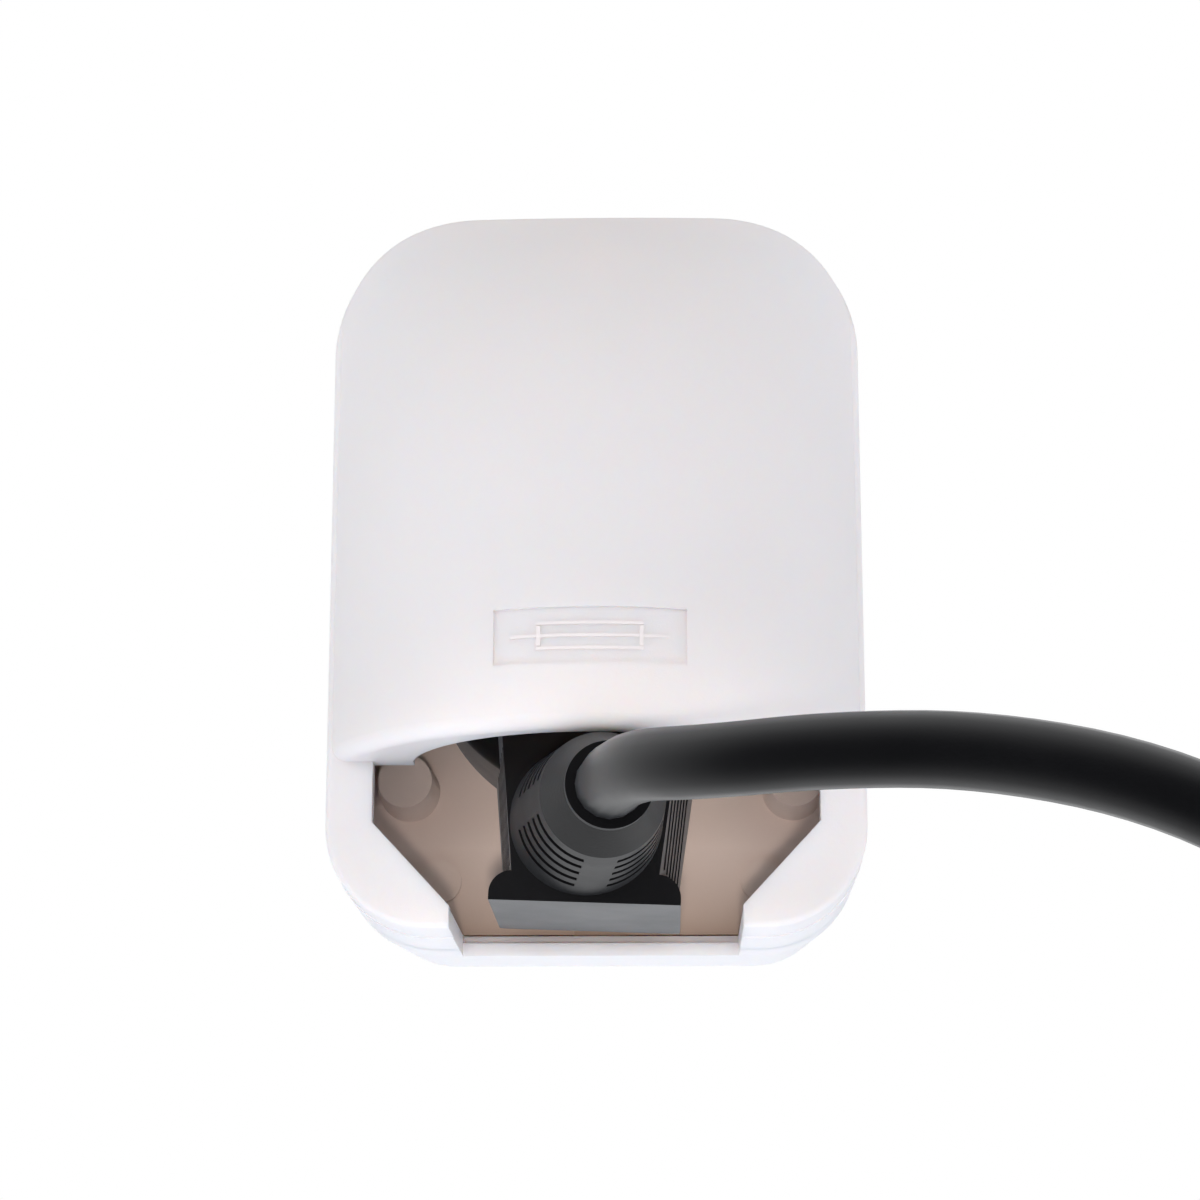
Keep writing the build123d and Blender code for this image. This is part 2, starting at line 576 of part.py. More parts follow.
def make_plug_body():
    """Disc with its earth notches, tapered grip, foot bar and finger grooves, as one moulding."""
    radius = DISC_DIAMETER / 2
    disc = rod(radius, -DISC_DEPTH, 0)
    disc = fillet(disc.edges().sort_by(Axis.Y)[0], DISC_EDGE)
    grip = loft([grip_section(-GRIP_START, GRIP_FOOT_HALF[0]), grip_section(-GRIP_END, GRIP_FOOT_HALF[1])])
    for side in (-1, 1):
        for n in range(FINGER_GROOVES):
            y = -GRIP_START - FINGER_START - n * FINGER_PITCH
            share = (-y - GRIP_START) / (GRIP_END - GRIP_START)
            foot = GRIP_FOOT_HALF[0] + share * (GRIP_FOOT_HALF[1] - GRIP_FOOT_HALF[0])
            middle = GRIP_BOTTOM + FINGER_MIDDLE
            x = side * (foot + GRIP_FLARE * (middle - GRIP_BOTTOM))
            cutter = Box(2 * FINGER_GROOVE_DEPTH, FINGER_GROOVE_WIDTH, FINGER_GROOVE_HEIGHT)
            grip -= Pos(x, y, middle) * Rot(FINGER_SLANT, side * 6.3, 0) * cutter
    foot_plan = Pos(0, -(GRIP_START + GRIP_END) / 2) * Rectangle(FOOT_WIDTH, GRIP_END - GRIP_START)
    foot_plan = fillet(foot_plan.vertices().group_by(Axis.Y)[-1], FOOT_CORNER)
    foot = extrude(Pos(0, 0, GRIP_BOTTOM) * foot_plan, FOOT_THICKNESS)
    long_edges = foot.edges().filter_by(Axis.Y).group_by(Axis.Z)[-1]
    foot = fillet(long_edges, FOOT_ROUND)
    body = disc + grip + foot
    for side in (-1, 1):
        z = sorted((side * (radius - EARTH_NOTCH_DEPTH), side * (radius + OVERCUT)))
        half = EARTH_NOTCH_WIDTH / 2
        body -= block((-half, half), (-DISC_DEPTH + EARTH_NOTCH_FLOOR, 0), z)
    return in_plug(body)


def make_plug_pins():
    """Two solid round pins with rounded tips."""
    pins = []
    for x in (-PLUG_PIN_SPREAD / 2, PLUG_PIN_SPREAD / 2):
        pin = rod(PLUG_PIN_DIAMETER / 2, 0, PLUG_PIN_LENGTH, x, 0)
        pins.append(in_plug(fillet(pin.edges().sort_by(Axis.Y)[-1], PLUG_PIN_TIP)))
    return pins


def make_plug_earth_strips():
    """A contact strip in the bottom of each earth notch."""
    inner = DISC_DIAMETER / 2 - EARTH_NOTCH_DEPTH
    strips = []
    for side in (-1, 1):
        z = sorted((side * inner, side * (inner + EARTH_STRIP)))
        half = (-EARTH_STRIP_HALF, EARTH_STRIP_HALF)
        strips.append(in_plug(block(half, (-DISC_DEPTH + EARTH_NOTCH_FLOOR, 0), z)))
    return strips


def relief_frame():
    """The strain relief's own frame: along its axis, from the middle of its root."""
    root = in_plug(Pos(0, -GRIP_END, -RELIEF_DROP)).position
    along = Vector(sin(radians(RELIEF_SIDE_TILT)), -cos(radians(RELIEF_SIDE_TILT)), 0)
    return Plane(origin=root, x_dir=(cos(radians(RELIEF_SIDE_TILT)), sin(radians(RELIEF_SIDE_TILT)), 0),
                 z_dir=along)


def make_strain_relief():
    """A tapered sleeve with interrupted ring grooves, cut flush with the plug's rear face."""
    frame = relief_frame()
    slope = (RELIEF_ROOT_RADIUS - RELIEF_RIM_RADIUS) / RELIEF_RIM_AT
    root_radius = RELIEF_ROOT_RADIUS + slope * RELIEF_ROOT
    profile = Polyline((0, -RELIEF_ROOT), (root_radius, -RELIEF_ROOT), (RELIEF_RIM_RADIUS, RELIEF_RIM_AT),
                       (RELIEF_MOUTH_RADIUS, RELIEF_LENGTH - RELIEF_MOUTH_LAND),
                       (RELIEF_MOUTH_RADIUS, RELIEF_LENGTH), (0, RELIEF_LENGTH), close=True)
    sleeve = revolve(Plane.XZ * make_face(profile), Axis.Z)
    for n in range(RELIEF_GROOVES):
        z = RELIEF_RIM_AT - RELIEF_LAST_LAND - n * RELIEF_GROOVE_PITCH
        floor = RELIEF_ROOT_RADIUS - slope * z - RELIEF_GROOVE_DEPTH
        ring = Circle(root_radius + OVERCUT) - Circle(floor)
        ring -= Rectangle(RELIEF_SPINE, 4 * RELIEF_ROOT_RADIUS)
        ring -= Rectangle(4 * RELIEF_ROOT_RADIUS, RELIEF_SPINE)
        sleeve -= extrude(Pos(0, 0, z - RELIEF_GROOVE_WIDTH) * ring, RELIEF_GROOVE_WIDTH)
    behind = (REAR_FACE_Y - 2 * RELIEF_LENGTH, REAR_FACE_Y)
    flush = block((-HOUSING_WIDTH / 2, HOUSING_WIDTH / 2), behind, (2 * HOUSING_BOTTOM, 0))
    return (frame * sleeve) & flush


def bend_radii(points):
    """The radius of each arc: 0.45 of its shorter run over the tangent of half its turn."""
    radii = []
    for before, at, after in zip(points, points[1:], points[2:]):
        first, second = Vector(*at) - Vector(*before), Vector(*after) - Vector(*at)
        turn = radians(first.get_angle(second))
        radii.append(0.45 * min(first.length, second.length) / tan(turn / 2))
    return radii


def cord_tube(points, name):
    """Straight runs joined by tangent arcs."""
    radii = bend_radii(points)
    path = FilletPolyline(*points, radius=radii)
    section = Plane(origin=path @ 0, z_dir=path % 0) * Circle(LEAD_DIAMETER / 2)
    tube = sweep(section, path=path)
    exact = pi * (LEAD_DIAMETER / 2) ** 2 * path.length
    print(name, "length", round(path.length, 1), "radii", [round(r, 1) for r in radii])
    print(name, "volume over section times length", round(tube.volume / exact, 4))
    return tube, path.length


def lead_points():
    """The lead's route: out along the strain relief's axis, then the points chosen above."""
    frame = relief_frame()
    mouth = frame.origin + frame.z_dir * RELIEF_LENGTH
    first = mouth + frame.z_dir * LEAD_FIRST_RUN
    return [tuple(mouth), tuple(first)] + LEAD_ROUTE


def coil_centre():
    """The middle of the hanging coil: the route ends in the upper half of its bundle."""
    x, y, z = LEAD_ROUTE[-1]
    return (x, y, z - COIL_RADIUS - COIL_BUNDLE / 2)


def make_coil():
    """The outer shape of the tied coil, hanging in the plane of the wall."""
    return Pos(*coil_centre()) * Rot(90, 0, 0) * Torus(COIL_RADIUS, COIL_BUNDLE)


def make_tie():
    """A strap round the bundle of turns."""
    inner = COIL_BUNDLE + TIE_GAP
    around = Plane.XZ * Pos(COIL_RADIUS, 0) * (Circle(inner + TIE_THICKNESS) - Circle(inner))
    band = revolve(around, Axis.Z, TIE_SPAN)
    return Pos(*coil_centre()) * Rot(90, 0, 0) * Rot(0, 0, TIE_AT) * band


def end_points():
    """The lead's last stretch, from the coil down to the connector's strain relief."""
    cx, cy, cz = coil_centre()
    return [(cx + x, cy + y, cz + z) for x, y, z in END_ROUTE]


def make_connector():
    """The appliance connector's moulding, with two cut corners and three slots in its face."""
    x, y, z = end_points()[-1]
    top = z - CONNECTOR_RELIEF
    plan = Rectangle(CONNECTOR_WIDTH, CONNECTOR_DEPTH)
    plan = chamfer(plan.vertices().group_by(Axis.Y)[0], CONNECTOR_CORNER)
    body = extrude(Pos(x, y, top - CONNECTOR_LENGTH) * plan, CONNECTOR_LENGTH)
    body = fillet(body.edges().group_by(Axis.Z)[-1], CONNECTOR_TOP_ROUND)
    wide, high = CONNECTOR_SLOT
    for dx, dy in CONNECTOR_SLOTS:
        body -= block((x + dx - wide / 2, x + dx + wide / 2), (y + dy - high / 2, y + dy + high / 2),
                      (top - CONNECTOR_LENGTH, top - CONNECTOR_LENGTH + CONNECTOR_SLOT_DEPTH))
    for side in (-1, 1):
        edge = x + side * CONNECTOR_WIDTH / 2
        across = sorted((edge - side * CONNECTOR_GRIP_CUT, edge + side * OVERCUT))
        for n in range(CONNECTOR_GRIPS):
            level = top - CONNECTOR_GRIP_TOP - n * CONNECTOR_GRIP_PITCH
            body -= block(across, (y - CONNECTOR_GRIP_HALF, y + CONNECTOR_GRIP_HALF),
                          (level - CONNECTOR_GRIP_CUT, level + CONNECTOR_GRIP_CUT))
    return body


def make_connector_contacts():
    """Three folded contacts at the bottom of the connector's slots."""
    x, y, z = end_points()[-1]
    face = z - CONNECTOR_RELIEF - CONNECTOR_LENGTH
    wide, high = CONNECTOR_SLOT
    contacts = []
    for dx, dy in CONNECTOR_SLOTS:
        contact = block((x + dx - wide / 2, x + dx + wide / 2), (y + dy - high / 2, y + dy + high / 2),
                        (face + CONTACT_SETBACK, face + CONNECTOR_SLOT_DEPTH))
        inner = wide / 2 - CONTACT_LEAF
        contacts.append(contact - block((x + dx - inner, x + dx + inner), (y + dy - high, y + dy + high),
                                        (face, face + CONNECTOR_SLOT_DEPTH - CONTACT_LEAF)))
    return contacts


def make_connector_relief():
    """The tapered, grooved sleeve between the lead and the connector."""
    x, y, z = end_points()[-1]
    mouth, root = CONNECTOR_RELIEF_RADII
    profile = Polyline((0, 0), (mouth, 0), (root, -CONNECTOR_RELIEF), (0, -CONNECTOR_RELIEF), close=True)
    sleeve = revolve(Plane.XZ * make_face(profile), Axis.Z)
    for n in range(CONNECTOR_RINGS):
        down = CONNECTOR_RING_TOP + n * CONNECTOR_RING_PITCH
        radius = mouth + (root - mouth) * down / CONNECTOR_RELIEF
        ring = Circle(root + OVERCUT) - Circle(radius - CONNECTOR_RING_DEPTH)
        ring -= Rectangle(CONNECTOR_SPINE, 3 * CONNECTOR_DEPTH)
        sleeve -= extrude(Pos(0, 0, -down - CONNECTOR_RING_WIDTH) * ring, CONNECTOR_RING_WIDTH)
    return Pos(x, y, z) * sleeve


def write(name, shapes):
    """One STEP file per node: a solid, or like solids as a group."""
    shapes = shapes if isinstance(shapes, list) else [shapes]
    solids = [s for shape in shapes for s in shape.solids()]
    export_step(solids[0] if len(solids) == 1 else Compound(children=solids), f"parts/{name}.step")


write("base_shell", make_base())
write("socket_plate", make_socket_plate())
write("cover", make_cover())
(earth, live, neutral) = pin_places()
write("earth_pin", make_pin(*earth, EARTH_TAIL_END, False))
write("live_pin", make_pin(*live, LINE_TAIL_END, True))
write("neutral_pin", make_pin(*neutral, LINE_TAIL_END, True))
write("live_pin_sleeve", make_sleeve(*live))
write("neutral_pin_sleeve", make_sleeve(*neutral))
write("earth_bracket", make_earth_bracket())
write("live_pin_strap", make_live_strap())
write("live_socket_contact", make_live_contact())
write("neutral_socket_contact", make_neutral_contact())
write("fuse_body", make_fuse_body())
write("fuse_caps", make_fuse_caps())
write("fuse_carrier", make_fuse_carrier())
write("plate_screws", [screw(x, z, PLATE_SCREW_SEAT, PLATE_SCREW_LENGTH) for x, z in screw_places()])
write("cover_screw", screw(0, COVER_SCREW_AT, COVER_SCREW_SEAT, COVER_SCREW_LENGTH))
write("plug_body", make_plug_body())
write("plug_pins", make_plug_pins())
write("plug_earth_strips", make_plug_earth_strips())
write("strain_relief", make_strain_relief())
coil = make_coil()
tube, front_length = cord_tube(lead_points(), "lead")
write("lead", tube - coil)
end_tube, end_length = cord_tube(end_points(), "lead_end")
write("lead_end", end_tube - coil)
write("lead_coil", coil)
write("coil_tie", make_tie())
write("appliance_connector", make_connector())
write("connector_contacts", make_connector_contacts())
write("connector_strain_relief", make_connector_relief())
coiled = COIL_TURNS * 2 * pi * COIL_RADIUS
print("whole lead", round(front_length + coiled + end_length))
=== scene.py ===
# %% [markdown]
# This notebook dresses a CAD model of a mains travel adapter: a white two-part housing with British
# pins behind and a hood in front, closed round a black angled plug whose lead leaves to the right.
# The CAD solids arrive as a fixed frame. Blender adds the finishes, the flexible lead, the small
# raised symbol, the light and the camera.

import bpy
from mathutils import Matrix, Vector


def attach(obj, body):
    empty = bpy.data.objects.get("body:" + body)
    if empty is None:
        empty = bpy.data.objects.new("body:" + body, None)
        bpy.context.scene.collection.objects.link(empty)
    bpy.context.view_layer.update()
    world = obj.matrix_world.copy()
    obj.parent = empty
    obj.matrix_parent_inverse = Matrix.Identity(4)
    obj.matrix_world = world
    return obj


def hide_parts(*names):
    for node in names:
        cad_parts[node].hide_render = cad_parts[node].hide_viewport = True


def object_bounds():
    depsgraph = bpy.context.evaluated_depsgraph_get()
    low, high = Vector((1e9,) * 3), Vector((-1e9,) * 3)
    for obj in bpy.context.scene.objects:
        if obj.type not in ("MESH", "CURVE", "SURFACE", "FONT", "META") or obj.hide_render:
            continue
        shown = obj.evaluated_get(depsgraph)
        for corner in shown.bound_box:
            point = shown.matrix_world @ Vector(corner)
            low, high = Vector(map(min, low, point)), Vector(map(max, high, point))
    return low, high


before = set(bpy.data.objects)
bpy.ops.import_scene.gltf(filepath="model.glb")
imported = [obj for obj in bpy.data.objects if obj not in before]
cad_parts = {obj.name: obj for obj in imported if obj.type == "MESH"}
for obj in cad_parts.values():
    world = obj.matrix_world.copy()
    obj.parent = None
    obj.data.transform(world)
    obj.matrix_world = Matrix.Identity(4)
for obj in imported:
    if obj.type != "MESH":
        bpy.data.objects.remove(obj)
cad_bounds = [list(corner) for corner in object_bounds()]

from math import cos, radians, sin

import bmesh
import bpy
from mathutils import Matrix, Vector

MM = 0.001
print("CAD nodes:", len(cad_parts))

# %% [markdown]
# The camera comes first, because everything is judged through it. The photograph was taken from
# below the housing's middle, looking up at it by about fourteen degrees, with a long lens. A
# camera is set most clearly from its viewing direction: the rows of its turn are right, up and back.

# %% Camera
LENS_MM = 90.0
SENSOR_MM = 36.0
CAMERA_AT = Vector((7.011, -345.42, -75.54)) * MM
LOOK_UP = radians(13.766)
LOOK_LEFT = radians(1.261)


def aim_camera():
    """A camera at the photograph's place, turned by its two measured angles."""
    right = Vector((cos(LOOK_LEFT), sin(LOOK_LEFT), 0))
    ahead = Vector((-sin(LOOK_LEFT) * cos(LOOK_UP), cos(LOOK_LEFT) * cos(LOOK_UP), sin(LOOK_UP)))
    up = right.cross(ahead)
    data = bpy.data.cameras.new("photo_camera")
    data.lens = LENS_MM
    data.sensor_width = SENSOR_MM
    data.clip_start = 0.01
    camera = bpy.data.objects.new("photo_camera", data)
    turn = Matrix((right, up, -ahead)).transposed()
    camera.matrix_world = Matrix.Translation(CAMERA_AT) @ turn.to_4x4()
    bpy.context.scene.collection.objects.link(camera)
    bpy.context.scene.camera = camera


aim_camera()

# %% [markdown]
# Colours are written as the hex values that a screen shows, and one function turns them into the
# linear numbers that the renderer adds and multiplies. Another function adds a node and sets its
# sockets and links. Two more join a pattern to the shader, as a bump and as a change of roughness,
# so that each finish below reads as a short recipe.


# %% Helpers for finishes
def linear(code):
    """Linear RGBA from a hex value in sRGB."""
    channels = [int(code[i:i + 2], 16) / 255 for i in (1, 3, 5)]
    return tuple(c / 12.92 if c <= 0.04045 else ((c + 0.055) / 1.055) ** 2.4 for c in channels) + (1.0,)


def add(tree, kind, settings=None, **sockets):
    """Adds a node; a socket takes a number, a colour or another node's output. Underscores are spaces."""
    node = tree.nodes.new(kind)
    for name, value in (settings or {}).items():
        setattr(node, name, value)
    for name, value in sockets.items():
        key = int(name[2:]) if name.startswith("in") and name[2:].isdigit() else name.replace("_", " ")
        socket = node.inputs[key]
        if isinstance(value, bpy.types.NodeSocket):
            tree.links.new(value, socket)
        else:
            socket.default_value = value
    return node


def finish(name, colour, roughness, metallic=0.0, ior=1.5, specular=0.5):
    """A named material with its shader's plain numbers set on the shader itself."""
    material = bpy.data.materials.new(name)
    material.use_nodes = True
    shader = material.node_tree.nodes["Principled BSDF"]
    shader.inputs["Base Color"].default_value = linear(colour)
    shader.inputs["Roughness"].default_value = roughness
    shader.inputs["Metallic"].default_value = metallic
    shader.inputs["Specular IOR Level"].default_value = specular
    if not metallic:
        shader.inputs["IOR"].default_value = ior
    return material, material.node_tree, shader


def places(tree, stretch=(1, 1, 1)):
    """The point on the object in metres, stretched along the axes of the frame."""
    where = add(tree, "ShaderNodeTexCoord").outputs["Object"]
    return add(tree, "ShaderNodeMapping", Vector=where, Scale=stretch).outputs["Vector"]


def per_metre(size_mm):
    """A pattern's scale from the size of one of its features."""
    return 1 / (size_mm * MM)


def add_bump(tree, shader, height, strength, depth_mm):
    """Small relief from a pattern, without any change of shape."""
    bump = add(tree, "ShaderNodeBump", Height=height, Strength=strength, Distance=depth_mm * MM)
    tree.links.new(bump.outputs["Normal"], shader.inputs["Normal"])


def vary_roughness(tree, shader, pattern, least, most):
    """Roughness that goes from least to most with a pattern."""
    share = add(tree, "ShaderNodeMapRange", Value=pattern, To_Min=least, To_Max=most)
    tree.links.new(share.outputs["Result"], shader.inputs["Roughness"])


# %% [markdown]
# The housing is injection-moulded ABS. Its mould was spark-eroded, which leaves a fine dull grain:
# the white stays soft and even, and tiny glints show where light grazes it. Two sizes of noise in
# the bump make that grain, and a slow change of tone keeps the large faces from looking flat. A few
# millimetres of the wall let light through, so it also spreads below the surface. The floor of the
# recess is a smoother, warmer plate, and its colour carries a painted shade that turns browner
# towards its foot, where shadow falls low in the recess. The thin strokes of the raised mark are
# kept opaque, because light lost inside such a narrow bar would make it look grey.

# %% White moulded ABS
GRAIN_MM = 0.42
FINE_GRAIN_MM = 0.16
GRAIN_DEPTH_MM = 0.022
TONE_MM = 24
LIGHT_REACH_MM = (3.6, 2.6, 2.0)
# Heights between which the recess floor's painted shade turns from none to its full brown.
PAINTED_SHADE_FROM_MM = -24.0
PAINTED_SHADE_FULL_MM = -36.0


def spark_eroded_abs(name, colour, shade, roughness=0.46, glow=0.6, painted_shade=None):
    """Moulded ABS with its fine grain; given a foot colour, a painted shade browner towards the foot."""
    material, tree, shader = finish(name, colour, roughness, ior=1.54)
    at = places(tree)
    slow = add(tree, "ShaderNodeTexNoise", Vector=at, Scale=per_metre(TONE_MM), Detail=2.0)
    tone = add(tree, "ShaderNodeMix", {"data_type": "RGBA"}, in0=slow.outputs["Fac"],
               in6=linear(colour), in7=linear(shade))
    # Painted shade: the colour is mixed towards a brown foot colour lower down, standing in for shadow.
    if painted_shade:
        height = add(tree, "ShaderNodeSeparateXYZ", Vector=at).outputs["Z"]
        share = add(tree, "ShaderNodeMapRange", Value=height, From_Min=PAINTED_SHADE_FULL_MM * MM,
                    From_Max=PAINTED_SHADE_FROM_MM * MM, To_Min=1.0, To_Max=0.0)
        tone = add(tree, "ShaderNodeMix", {"data_type": "RGBA"}, in0=share.outputs["Result"],
                   in6=tone.outputs[2], in7=linear(painted_shade))
    tree.links.new(tone.outputs[2], shader.inputs["Base Color"])
    coarse = add(tree, "ShaderNodeTexNoise", Vector=at, Scale=per_metre(GRAIN_MM), Detail=1.0)
    fine = add(tree, "ShaderNodeTexNoise", Vector=at, Scale=per_metre(FINE_GRAIN_MM), Detail=1.0)
    grain = add(tree, "ShaderNodeMath", {"operation": "ADD"}, in0=coarse.outputs["Fac"],
                in1=fine.outputs["Fac"])
    add_bump(tree, shader, grain.outputs[0], 0.35, GRAIN_DEPTH_MM)
    vary_roughness(tree, shader, coarse.outputs["Fac"], roughness - 0.08, roughness + 0.1)
    shader.inputs["Subsurface Weight"].default_value = glow
    shader.inputs["Subsurface Radius"].default_value = [reach * MM for reach in LIGHT_REACH_MM]
    shader.inputs["Subsurface Scale"].default_value = 1.0
    return material


white_abs = spark_eroded_abs("spark_eroded_abs_white", "#F6F0F0", "#F0EAEA")
symbol_abs = spark_eroded_abs("spark_eroded_abs_strokes", "#F6F0F0", "#F0EAEA", glow=0.0)
# The recess plate's colour carries a painted shade, browner towards its foot.
inner_abs = spark_eroded_abs("smooth_abs_inner", "#F6E4DA", "#EEDACD", roughness=0.38, glow=0.0,
                             painted_shade="#927762")

# %% [markdown]
# The plug, its strain relief and the connector are soft PVC, moulded black over the cores. Carbon
# black hides every tone, so what the eye reads is the skin: a fine matt speckle with a weak shine,
# and a faint pale bloom that shows most where the surface turns away. The sheath of the lead is
# extruded, so it is smoother and darker.

# %% Black moulded PVC
SPECKLE_MM = 0.2
SPECKLE_DEPTH_MM = 0.03
DULL_PATCH_MM = 6
BLOOM_SPREAD = 0.45
BLOOM_TINT = "#CDD6E0"


def moulded_pvc(name, colour, roughness, speckle=0.5, specular=0.35, bloom=0.25):
    """Soft black moulding with a fine speckled skin."""
    material, tree, shader = finish(name, colour, roughness, ior=1.53, specular=specular)
    at = places(tree)
    skin = add(tree, "ShaderNodeTexNoise", Vector=at, Scale=per_metre(SPECKLE_MM), Detail=2.0)
    add_bump(tree, shader, skin.outputs["Fac"], speckle, SPECKLE_DEPTH_MM)
    slow = add(tree, "ShaderNodeTexNoise", Vector=at, Scale=per_metre(DULL_PATCH_MM), Detail=3.0)
    vary_roughness(tree, shader, slow.outputs["Fac"], roughness - 0.06, roughness + 0.1)
    shader.inputs["Sheen Weight"].default_value = bloom
    shader.inputs["Sheen Roughness"].default_value = BLOOM_SPREAD
    shader.inputs["Sheen Tint"].default_value = linear(BLOOM_TINT)
    return material


plug_pvc = moulded_pvc("moulded_pvc_black", "#131315", 0.42, bloom=0.2)
# The strain relief takes a darker, duller copy of the plug's PVC: a painted shade for the hood's shadow above
# it.
shaded_relief_pvc = moulded_pvc("moulded_pvc_relief", "#0E0E10", 0.42, specular=0.27, bloom=0.08)
lead_pvc = moulded_pvc("extruded_pvc_sheath", "#0B0B0E", 0.3, speckle=0.12, specular=0.45,
                       bloom=0.08)
sleeve_nylon = moulded_pvc("moulded_nylon_sleeve", "#1B1B1D", 0.36, speckle=0.2)

# %% [markdown]
# The pins and contacts are brass, drawn or rolled to size. Drawing leaves fine lines along the
# metal. Noise that is stretched fiftyfold along one axis gives those lines, in both the
# roughness and a very shallow bump.

# %% Drawn and rolled metal
LINE_MM = 0.12
LINE_STRETCH = 0.02
LINE_DEPTH_MM = 0.01


def drawn_metal(name, colour, roughness, along):
    """Metal with fine lines along one axis."""
    material, tree, shader = finish(name, colour, roughness, metallic=1.0)
    stretch = [LINE_STRETCH if axis == along else 1.0 for axis in "XYZ"]
    lines = add(tree, "ShaderNodeTexNoise", Vector=places(tree, stretch), Scale=per_metre(LINE_MM),
                Detail=2.0)
    vary_roughness(tree, shader, lines.outputs["Fac"], roughness - 0.08, roughness + 0.12)
    add_bump(tree, shader, lines.outputs["Fac"], 0.25, LINE_DEPTH_MM)
    return material


pin_brass = drawn_metal("drawn_brass_pins", "#C9B482", 0.28, "Y")
contact_brass = drawn_metal("rolled_brass_contacts", "#CBAE74", 0.3, "Z")
plug_nickel = drawn_metal("nickel_plated_pins", "#C9C7C2", 0.22, "Y")
cap_nickel = drawn_metal("nickel_plated_caps", "#CDCBC6", 0.25, "X")
screw_zinc = drawn_metal("zinc_plated_steel", "#B4B6BA", 0.33, "Y")

# %% [markdown]
# The fuse body is glazed ceramic: off-white, smooth and glossy under the glaze, with a faint
# waviness. The tie round the coil is a woven nylon band, whose two thread directions are drawn as
# two crossed waves, as coarse as the render can show.

# %% Ceramic and woven band
THREAD_MM = 0.7
WAVE_BANDS = 6
GLAZE_WAVE_MM = 1.5


def glazed_ceramic():
    """Off-white steatite under a clear glaze."""
    material, tree, shader = finish("glazed_ceramic", "#E6E0D2", 0.2, ior=1.6)
    shader.inputs["Coat Weight"].default_value = 0.6
    waves = add(tree, "ShaderNodeTexNoise", Vector=places(tree), Scale=per_metre(GLAZE_WAVE_MM),
                Detail=1.0)
    add_bump(tree, shader, waves.outputs["Fac"], 0.2, 0.03)
    return material


def woven_band():
    """Black nylon webbing."""
    material, tree, shader = finish("woven_nylon_band", "#202023", 0.7, ior=1.53, specular=0.3)
    at = places(tree)
    warp, weft = (add(tree, "ShaderNodeTexWave", {"bands_direction": way}, Vector=at,
                      Scale=per_metre(THREAD_MM) / WAVE_BANDS) for way in "XY")
    cloth = add(tree, "ShaderNodeMath", {"operation": "MAXIMUM"}, in0=warp.outputs["Fac"],
                in1=weft.outputs["Fac"])
    add_bump(tree, shader, cloth.outputs[0], 0.8, 0.15)
    return material


fuse_ceramic = glazed_ceramic()
band_nylon = woven_band()

# %% [markdown]
# Each CAD node takes the finish of what it is made of. Nothing is moved: only the material slot of
# each object changes.

# %% Dress the CAD nodes
FINISHES = {
    "base_shell": white_abs, "cover": white_abs, "fuse_carrier": white_abs, "socket_plate": inner_abs,
    "earth_pin": pin_brass, "live_pin": pin_brass, "neutral_pin": pin_brass,
    "live_pin_sleeve": sleeve_nylon, "neutral_pin_sleeve": sleeve_nylon,
    "earth_bracket": contact_brass, "live_pin_strap": contact_brass, "live_socket_contact": contact_brass,
    "neutral_socket_contact": contact_brass, "connector_contacts": contact_brass,
    "fuse_body": fuse_ceramic, "fuse_caps": cap_nickel, "plate_screws": screw_zinc, "cover_screw": screw_zinc,
    "plug_body": plug_pvc, "strain_relief": shaded_relief_pvc, "appliance_connector": plug_pvc,
    "connector_strain_relief": plug_pvc, "plug_pins": plug_nickel, "plug_earth_strips": plug_nickel,
    "coil_tie": band_nylon,
}
for node, material in FINISHES.items():
    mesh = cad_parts[node].data
    mesh.materials.clear()
    mesh.materials.append(material)
print("dressed:", len(FINISHES))

# %% [markdown]
# The lead is one length of flexible sheath, about 6.6 mm thick. It leaves the strain relief, bends
# to the right as the photograph shows, and what the photograph doesn't show is wound into a tied
# coil that hangs below the view. The whole lead is one smooth spline: the free stretch
# follows listed points, and the turns of the coil come from a loop. Six strands lie round a
# seventh, and each turn steps over to its neighbour's place where that place has just come free.

# %% The lead
LEAD_MM = 6.6
LEAD_ROUTE_MM = [(1.815, -68.629, -25.486), (3.107, -78.444, -25.486), (10.5, -87.8, -27.0),
                 (21.0, -93.3, -27.0), (33.0, -98.8, -28.0), (46.0, -105.8, -31.9),
                 (57.0, -110.0, -38.3), (66.5, -111.0, -47.5), (73.0, -109.5, -59.0),
                 (75.8, -107.5, -75.3), (71.4, -105.5, -92.8), (59.5, -104.0, -107.0),
                 (42.6, -103.0, -114.5)]
COIL_CENTRE_MM = Vector((24.6, -102.8, -159.0))
COIL_RADIUS_MM = 39.5
STRAND_PITCH_MM = 6.75
POINTS_PER_TURN = 24
STEP_START_DEG = 95.0
STEP_GAP_DEG = 40.0
STEP_LENGTH_DEG = 35.0
END_ROUTE_MM = [(-42.5, -6.5, -8.0), (-42.5, -7.5, -21.0), (-42.0, -8.0, -34.0),
                (-42.0, -8.0, -46.0)]


def strand_places():
    """Places in the bundle, outermost first: four round the ring, the middle, then the last two."""
    ring = [(STRAND_PITCH_MM * cos(radians(a)), STRAND_PITCH_MM * sin(radians(a)))
            for a in range(0, 360, 60)]
    return ring[:4] + [(0.0, 0.0)] + ring[4:]


